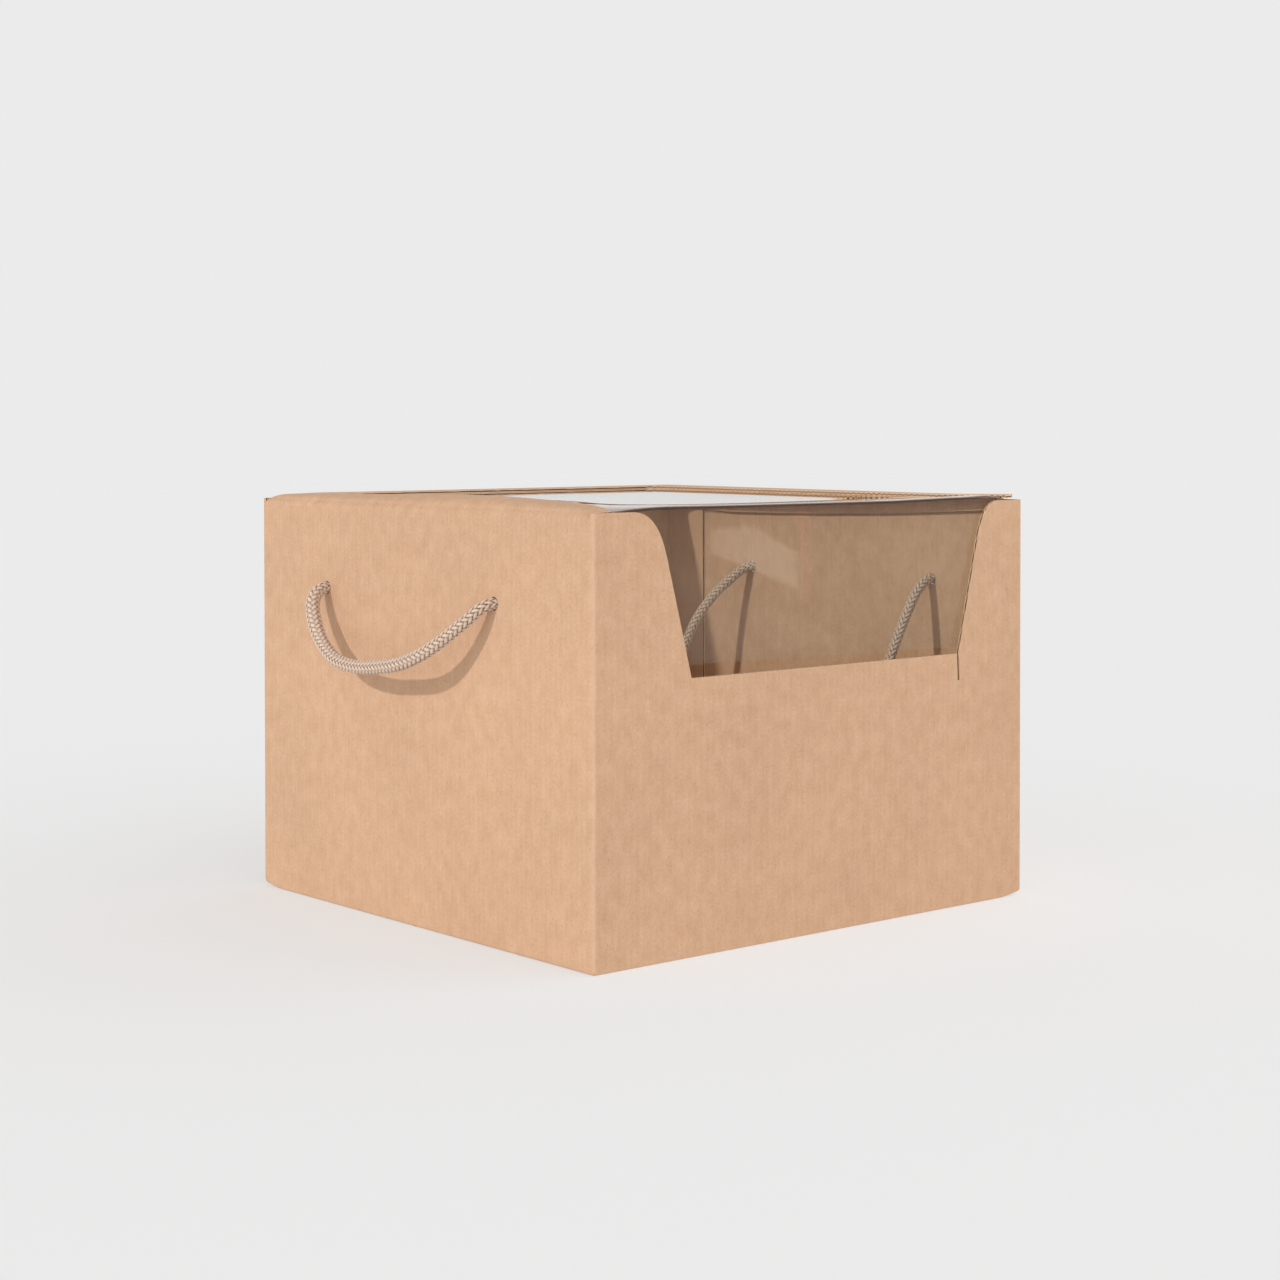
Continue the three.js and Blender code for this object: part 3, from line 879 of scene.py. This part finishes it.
def lidBoard():
    right, _, top = lidHigh
    radius = boardSheet["foldRadius"]
    start = -halfX + lidShape["stripEnd"]
    line = [(x, top) for x in np.linspace(start, right - radius, 52)]
    line += arc((right - radius, top - radius), radius, 90, 0, 6)[1:]
    line += [(right, z) for z in np.linspace(top - radius - 1.5 * mm, top - 14 * mm, 7)]
    piece = boardStrip("lid_board", lambda y: line, np.linspace(-lidHigh[1], lidHigh[1], 56))
    levels = (top - 3 * mm, top + 2 * mm)
    tools = [cutter(lidWindowOutline(), "z", *levels)]
    tools += tuckCornerTools(*levels)
    # Beside the fold the lid drops between the front and rear walls
    left = -halfX - 2 * mm
    inside = innerY - 0.4 * mm
    for end in (-1, 1):
        low, high = sorted((end * inside, end * (halfY + 3 * mm)))
        tools.append(cutter([(left, low), (lidShape["dropEnd"], low), (lidShape["dropEnd"], high),
                             (left, high)], "z", *levels))
    tools.append(cutter(tuckCutOutline(), "x", right - 6 * mm, right + 2 * mm))
    cutAway(piece, tools)
    sheetPlaces(piece, onLid=True)
    movePoints(piece, lidShift)
    smoothBy(piece, 32)
    return piece


def foldLine(y):
    # From the wall's face, over the sprung fold with its crease, onto the lid
    shape = lidShape
    top = lidHigh[2]
    end = -halfX + shape["stripEnd"]
    step = 0.2 * mm
    slope = (lidLift(end + step, y) - lidLift(end, y)) / step
    last = (end, top + lidLift(end, y))
    foot = wallTop - shape["stripFoot"]
    upright = [(-halfX, foot + k * mm) for k in (0, 0.8, 1.6)]
    pull = min(4.6 * mm, (end + halfX) * 0.6)
    curve = bezier((-halfX, foot + 2.4 * mm), (-halfX + 0.1 * mm, min(foot + 6.4 * mm, last[1] - 0.8 * mm)),
                   (end - pull, last[1] - pull * slope), last, 20)
    line = upright + curve
    creased = []
    for x, z in line:
        dent = 0.42 * mm * math.exp(-((z - wallTop - 0.1 * mm) / (0.75 * mm)) ** 2)
        creased.append((x + dent * 0.8, z - dent * 0.3))
    return creased


def footBow(point):
    # The strip's foot lies on the wall and bows with it
    onWall = point[2] < wallTop - 1 * mm and point[0] < -halfX + 2 * mm
    return wallBow(point) if onWall else Vector((0, 0, 0))


def lidFold():
    reach = innerY - 0.65 * mm
    ends = [reach - gap * mm for gap in (0, 0.3, 0.8, 1.6, 2.6, 4, 6, 8.5, 11.5)]
    stations = [-y for y in ends] + list(np.linspace(-reach + 15 * mm, reach - 15 * mm, 46)) + ends[::-1]
    piece = boardStrip("lid_fold", foldLine, stations)
    sheetPlaces(piece)
    movePoints(piece, footBow)
    smoothBy(piece, 40)
    return piece


lid = lidBoard()
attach(lid, "lid")
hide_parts("lid_frame")
fold = lidFold()
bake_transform(fold)
print("lid made")


# The window film

filmShape = {
    "thickness": 0.25 * mm,
    "bend": 2.2 * mm,
    "lidGap": 0.05 * mm,
    "hem": (119.7 * mm, 116.2 * mm),  # height of its left and right ends
    "plainHem": 100 * mm,  # before the skirt is fitted to that hem
    # How far the front bend stands up, from left to right
    "riseAlong": (0, 0.06, 0.15, 0.4, 0.7, 1),
    "rise": (0.2 * mm, 0.8 * mm, 1.2 * mm, 1.2 * mm, 1.1 * mm, 2.1 * mm),
    "riseFade": 30 * mm,
    "ripple": 0.06 * mm,
    "skirtWave": 0.22 * mm,
    "skirtLean": 0.25 * mm,
}
filmTop = lidHigh[2] - boardSheet["thickness"] - filmShape["lidGap"]
filmTurn = filmTop - filmShape["bend"]  # where the skirt begins


def filmSpot(x, y, z, depth):
    # Where a point of the plain bent sheet comes to lie. Depth is measured in from its outer face
    shape = filmShape
    face = filmLow[1]
    share = (x - filmLow[0]) / (filmHigh[0] - filmLow[0])
    free = min(1.0, max(0.0, (lidHigh[0] - 12 * mm - x) / (8 * mm)) + 0.4)
    rise = float(np.interp(share, shape["riseAlong"], shape["rise"])) * free
    if z < filmTurn:
        drop = (filmTurn - z) / (filmTurn - shape["plainHem"])
        begin = filmTurn + lidLift(x, face) + rise
        hem = float(np.interp(share, (0, 1), shape["hem"]))
        wave = noise.noise(Vector((x * 16, drop * 2.5, 9.7))) * shape["skirtWave"] * drop
        return (x, y + depth + shape["skirtLean"] * drop + wave, begin + (hem - begin) * drop)
    ripple = (noise.noise(Vector((x * 14, y * 11, 2.3))) - 1) * shape["ripple"]
    lift = lidLift(x, y) + rise * math.exp(-((y - face) / shape["riseFade"]) ** 2) + ripple
    if z >= filmTop:
        return (x, y, z + lift - depth)
    bend = math.atan2(z - filmTurn, face + shape["bend"] - y)
    return (x, y + depth * math.cos(bend), z + lift - depth * math.sin(bend))


def windowFilm():
    shape = filmShape
    face = filmLow[1]
    radius = shape["bend"]
    line = [(y, filmTop) for y in np.linspace(filmHigh[1], face + radius, 60)]
    line += arc((face + radius, filmTurn), radius, 90, 180, 8)[1:]
    line += [(face, z) for z in np.linspace(filmTurn - 2 * mm, shape["plainHem"], 18)]
    columns = np.linspace(filmLow[0], filmHigh[0], 60)
    vertices, bends = [], []
    for depth in (0.0, shape["thickness"]):
        for x in columns:
            vertices += [filmSpot(x, y, z, depth) for y, z in line]
            # Where the painted dark line of the bend lies
            bends += [math.exp(-((z - filmTop + 0.6 * mm) / (0.5 * mm)) ** 2) if y < face + radius else 0.0
                      for y, z in line]
    sides, rim = sheetFaces(len(columns), len(line))
    piece = makeObject("pet_window", vertices, sides + rim, [petFilm])
    writeAttribute(piece, "bend", "FLOAT", bends)
    cleanUp(piece)
    smoothBy(piece, 40)
    return piece


film = windowFilm()
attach(film, "lid")
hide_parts("window_film")
print("film made")


# The cord handles. The route is out from the side wall, along Y, and up from the hole's height, in mm
cordRoute = [
    (-34, -78, -63), (-33.5, -77.7, -48), (-28.5, -74, -30), (-20.5, -69.5, -16.5),
    (-12.5, -65, -7.6), (-6.5, -61.6, -2), (-0.75, -59.5, 0), (4.8, -57.2, -1.6),
    (10, -50.5, -8.5), (15.5, -36.5, -19), (18, -20, -26), (17.5, 0, -29.5),
    (16.5, 20, -31), (15.5, 38, -29), (13.5, 52, -22.5), (11.5, 61, -14.2),
    (9, 66.5, -6.2), (4.7, 68.4, -1.3), (-0.75, 68.5, 0), (-6, 68.5, -1.5),
    (-12, 68.7, -7), (-18, 69, -15.5), (-24, 69, -26), (-30, 69, -38),
    (-34.5, 69, -50), (-35, 69, -63),
]
firstHole = 6  # places in the route
lastHole = 18

cordShape = {
    "diameter": 5 * mm,
    "strands": 8,  # in each direction
    "pitch": 22 * mm,
    "middle": 1.84 * mm,  # from the path to a strand's middle
    "weave": 0.28 * mm,  # how far a strand rises and sinks from there
    "strandWide": 0.63 * mm,
    "strandThick": 0.36 * mm,
    "step": 0.75 * mm,
    "sides": 6,  # of a strand
    # Where along the loop the braid swells, and by how much
    "swell": ((0, 0.06, 0.25, 0.7, 0.86, 0.95, 1), (1.02, 1.1, 1.24, 1.28, 1.42, 1.32, 1.04)),
}


def splinePoint(points, i, t):
    b = points[i]
    c = points[i + 1]
    a = points[i - 1] if i else 2 * b - c
    d = points[i + 2] if i + 2 < len(points) else 2 * c - b
    return 0.5 * ((2 * b) + (c - a) * t + (2 * a - 5 * b + 4 * c - d) * t * t
                  + (3 * b - a - 3 * c + d) * t ** 3)


def walkEvenly(points, step):
    # Even steps along a polyline
    gaps = [(q - p).length for p, q in zip(points, points[1:])]
    reach = np.concatenate([[0], np.cumsum(gaps)])
    count = max(2, round(reach[-1] / step))
    marks = np.linspace(0, reach[-1], count + 1)
    spots = np.array([tuple(p) for p in points])
    return [Vector([float(np.interp(m, reach, spots[:, k])) for k in range(3)]) for m in marks]


def smoothRoute(points, first, last):
    fine = []
    for i in range(first, last):
        fine += [splinePoint(points, i, t) for t in np.linspace(0, 1, 12, endpoint=False)]
    fine.append(points[last])
    return walkEvenly(fine, cordShape["step"])


def pathFrames(path):
    # At each point of a path: the way on, and two directions across it that twist no more than it does
    frames = []
    side = None
    for i in range(len(path)):
        tangent = (path[min(i + 1, len(path) - 1)] - path[max(i - 1, 0)]).normalized()
        if side is None:
            side = tangent.cross(Vector((0.31, 0.22, 0.92))).normalized()
        side = (side - tangent * side.dot(tangent)).normalized()
        frames.append((tangent, side, tangent.cross(side)))
    return frames


def strandRing(frame, centre, size, way, number, travelled):
    # One ring of a strand's points. Going round the path, the strand passes two over and two under
    shape = cordShape
    tangent, side, across = frame
    turn = 2 * math.pi * travelled / shape["pitch"]
    angle = way * turn + 2 * math.pi * number / shape["strands"]
    crossing = 2 * shape["strands"] * travelled / shape["pitch"]
    over = math.cos(math.pi / 2 * (2 * number + way * crossing) - math.pi / 4)
    over = way * max(-1.0, min(1.0, over * 1.4))
    radius = (shape["middle"] + shape["weave"] * over) * size
    outward = side * math.cos(angle) + across * math.sin(angle)
    around = -side * math.sin(angle) + across * math.cos(angle)
    run = (tangent + around * (way * 2 * math.pi * radius / shape["pitch"])).normalized()
    wide = run.cross(outward).normalized()
    points, places = [], []
    for k in range(shape["sides"]):
        a = 2 * math.pi * k / shape["sides"]
        points.append(centre + outward * (radius + shape["strandThick"] * math.sin(a))
                      + wide * shape["strandWide"] * size * math.cos(a))
        # Across the strand, along it, and how much painted shade it takes: most where it passes under and
        # at its edges
        places.append((shape["strandWide"] * math.cos(a), travelled * 1.3 + number * 7 * mm,
                       0.45 * (1 - over) + 0.6 * math.cos(a) ** 2 - 0.12))
    return points, places


def braid(name, path, sizes=(1.0, 1.0)):
    # Strands wind both ways round the path
    frames = pathFrames(path)
    swells = np.interp(np.linspace(0, 1, len(path)), np.linspace(0, 1, len(sizes)), sizes)
    vertices, faces, places = [], [], []
    sides = cordShape["sides"]
    for way in (1, -1):
        for number in range(cordShape["strands"]):
            first = len(vertices)
            travelled = 0.0
            for i, centre in enumerate(path):
                if i:
                    travelled += (centre - path[i - 1]).length
                ring = strandRing(frames[i], centre, swells[i], way, number, travelled)
                vertices += ring[0]
                places += ring[1]
            faces += gridFaces(first, len(path), sides, closed=True)
            faces.append(tuple(reversed(range(first, first + sides))))
            faces.append(tuple(range(len(vertices) - sides, len(vertices))))
    piece = makeObject(name, vertices, faces, [cottonCord])
    writeAttribute(piece, "strandPlace", "FLOAT_VECTOR", np.array(places, np.float32).ravel())
    cleanUp(piece, None)
    smoothBy(piece, 50)
    return piece


knotShape = {
    "size": 2.05 * mm,
    "drop": 6.8 * mm,  # from the cord's end down to the knot's middle
    "tail": 9 * mm,
}


def knotRoute(end, turned):
    # An overhand knot: the cord comes in from above, crosses itself three times and leaves below
    shape = knotShape
    middle = end - Vector((0, 0, shape["drop"]))
    loops = []
    for t in np.linspace(0.30, 2 * math.pi - 0.30, 46):
        reach = 2 + math.cos(3 * t)
        spot = Vector((reach * math.cos(2 * t), math.sin(3 * t) * 1.1, reach * math.sin(2 * t)))
        spot = Vector((spot[0] * math.cos(turned) - spot[1] * math.sin(turned),
                       spot[0] * math.sin(turned) + spot[1] * math.cos(turned), spot[2]))
        loops.append(middle + spot * shape["size"])
    if loops[0][2] < loops[-1][2]:
        loops.reverse()
    low = middle - Vector((0, 0, 6.5 * mm))
    tail = [low, low - Vector((0, 0, shape["tail"] * 0.5)), low - Vector((0, 0, shape["tail"]))]
    rough = [end] + loops[1:-1] + tail
    for _ in range(3):
        rough = [rough[0]] + [(rough[i - 1] + rough[i] * 2 + rough[i + 1]) / 4
                              for i in range(1, len(rough) - 1)] + [rough[-1]]
    return walkEvenly(rough, cordShape["step"])


def placeCord(cord, node):
    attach(cord, "box")
    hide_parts(node)


def handle(sideName, side):
    # The right handle is the left one turned half round. A knotted tail hangs inside each hole
    holeZ = wallTop - cartonShape["holeDepth"]
    points = [Vector((side * (halfX + a * mm), -side * b * mm, holeZ + c * mm)) for a, b, c in cordRoute]
    last = len(points) - 1
    tails = {
        "front" if side < 0 else "back": (smoothRoute(points, 0, firstHole)[::-1], 0.5),
        "back" if side < 0 else "front": (smoothRoute(points, lastHole, last), 2.1),
    }
    for endName, (path, turned) in tails.items():
        knot = braid(f"{sideName}_knot_{endName}", knotRoute(path[-1], turned + side), (0.97, 0.97))
        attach(knot, "box")
        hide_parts(f"knot_{sideName}_{endName}")
        tail = braid(f"{sideName}_cord_tail_{endName}", path)
        placeCord(tail, f"rope_{sideName}")
    path = smoothRoute(points, firstHole, lastHole)
    swell = np.interp(np.linspace(0, 1, 40), *cordShape["swell"])
    placeCord(braid(f"{sideName}_cord_loop", path, swell), f"rope_{sideName}")


for sideName, side in (("left", -1), ("right", 1)):
    handle(sideName, side)
print("cords made")


# Floor and light

stageLook = {
    "floor": "#EBEBEB",
    "floorGlow": 0.47,  # the shaded studio floor is nearly even
    "floorPaper": 0.5,
    "horizon": 1.62,
    "zenith": 0.27,
    "frontShare": 0.55,  # how much brighter the side in front of the box is
    "sun": 1.47,
    "sunAngle": 2.5,  # degrees across, for the edges of shadows
    "sunTravel": (0.865, -0.143, -0.50),
    "cardPlace": -0.6,
    # Three pale cards in front and to the right, in X and Z: colour, strength and corners
    "cards": {
        "slanted_gloss": ("#FFF0E2", 2.8, ((0.351, 0.142), (0.391, 0.143), (0.432, 0.124),
                                           (0.434, 0.096), (0.400, 0.106), (0.351, 0.125))),
        "upright_gloss": ("#FF8E78", 1.4, ((0.428, 0.163), (0.443, 0.163), (0.446, 0.091),
                                           (0.433, 0.089))),
        "low_gloss": ("#FFF0E2", 0.7, ((0.315, 0.122), (0.373, 0.104), (0.412, 0.094),
                                       (0.492, 0.055), (0.396, 0.054), (0.330, 0.054))),
    },
}


def studioWorld():
    # Bright round the horizon and most in front and to the right, dim overhead
    look = stageLook
    world = bpy.data.worlds.new("studio")
    world.use_nodes = True
    bpy.context.scene.world = world
    world.node_tree.nodes.clear()
    where = addNode(world, "ShaderNodeTexCoord")
    split = addNode(world, "ShaderNodeSeparateXYZ", links={0: where.outputs["Generated"]})
    right, back, up = split.outputs
    height = calculate(world, "MAXIMUM", up, 0.0)
    level = calculate(world, "MULTIPLY_ADD", height, look["zenith"] - look["horizon"], look["horizon"])
    aside = calculate(world, "MULTIPLY", right, look["frontShare"] * 0.5)
    ahead = calculate(world, "MULTIPLY_ADD", back, -look["frontShare"] * 0.85, aside)
    strength = calculate(world, "MAXIMUM", calculate(world, "ADD", level, ahead), 0.0)
    light = addNode(world, "ShaderNodeBackground", values={"Color": (1, 1, 1, 1)},
                    links={"Strength": strength})
    path = addNode(world, "ShaderNodeLightPath")
    seen = calculate(world, "MAXIMUM", path.outputs["Is Camera Ray"],
                     calculate(world, "MAXIMUM", path.outputs["Is Glossy Ray"],
                               path.outputs["Is Transmission Ray"]))
    backdrop = addNode(world, "ShaderNodeBackground",
                       values={"Color": linearColour(look["floor"]), "Strength": 1.0})
    mixed = addNode(world, "ShaderNodeMixShader",
                    links={0: seen, 1: light.outputs[0], 2: backdrop.outputs[0]})
    addNode(world, "ShaderNodeOutputWorld", links={"Surface": mixed.outputs[0]})


def mattGreyFloor():
    look = stageLook
    material = newMaterial("matt_grey_floor")
    paper = addNode(material, "ShaderNodeBsdfDiffuse",
                    values={"Color": (look["floorPaper"], look["floorPaper"], look["floorPaper"], 1)})
    glow = addNode(material, "ShaderNodeEmission",
                   values={"Color": (1, 1, 1, 1), "Strength": look["floorGlow"]})
    both = addNode(material, "ShaderNodeAddShader", links={0: paper.outputs[0], 1: glow.outputs[0]})
    return showSurface(material, both)


def glossCard(name, colour, strength, corners):
    # A pale card with soft edges that only the film's gloss shows
    material = newMaterial(name)
    glow = calculate(material, "MULTIPLY", readAttribute(material, "fade"), strength)
    shine = addNode(material, "ShaderNodeEmission", values={"Color": linearColour(colour)},
                    links={"Strength": glow})
    clear = addNode(material, "ShaderNodeBsdfTransparent")
    both = addNode(material, "ShaderNodeAddShader", links={0: shine.outputs[0], 1: clear.outputs[0]})
    showSurface(material, both)
    count = len(corners)
    middleX, middleZ = (sum(values) / count for values in zip(*corners))
    inner = [(middleX + (x - middleX) * 0.8, middleZ + (z - middleZ) * 0.8) for x, z in corners]
    vertices = [(x, stageLook["cardPlace"], z) for x, z in inner + list(corners)]
    faces = [tuple(range(count))] + gridFaces(0, 2, count, closed=True)
    card = makeObject(name, vertices, faces, [material])
    writeAttribute(card, "fade", "FLOAT", [1.0] * count + [0.0] * count)
    card.visible_camera = False
    card.visible_diffuse = False
    card.visible_shadow = False


def makeStage():
    look = stageLook
    size = 6.0
    floor = makeObject("floor", [(-size, -size, 0), (size, -size, 0), (size, size, 0), (-size, size, 0)],
                       [(0, 1, 2, 3)], [mattGreyFloor()])
    studioWorld()
    for name, card in look["cards"].items():
        glossCard(name, *card)

    lamp = bpy.data.lights.new("key_sun", "SUN")
    lamp.energy = look["sun"]
    lamp.angle = math.radians(look["sunAngle"])
    sun = bpy.data.objects.new("key_sun", lamp)
    sun.rotation_euler = Vector(look["sunTravel"]).to_track_quat("-Z", "Y").to_euler()
    bpy.context.collection.objects.link(sun)
    # The key lights the box alone, so that the floor stays even, as in a shaded studio
    lit = bpy.data.collections.new("lit_by_key")
    for piece in list(bpy.context.scene.objects):
        if piece.type == "MESH" and piece is not floor:
            lit.objects.link(piece)
    sun.light_linking.receiver_collection = lit


makeStage()
bpy.context.scene.view_settings.view_transform = "Standard"
print("stage made")
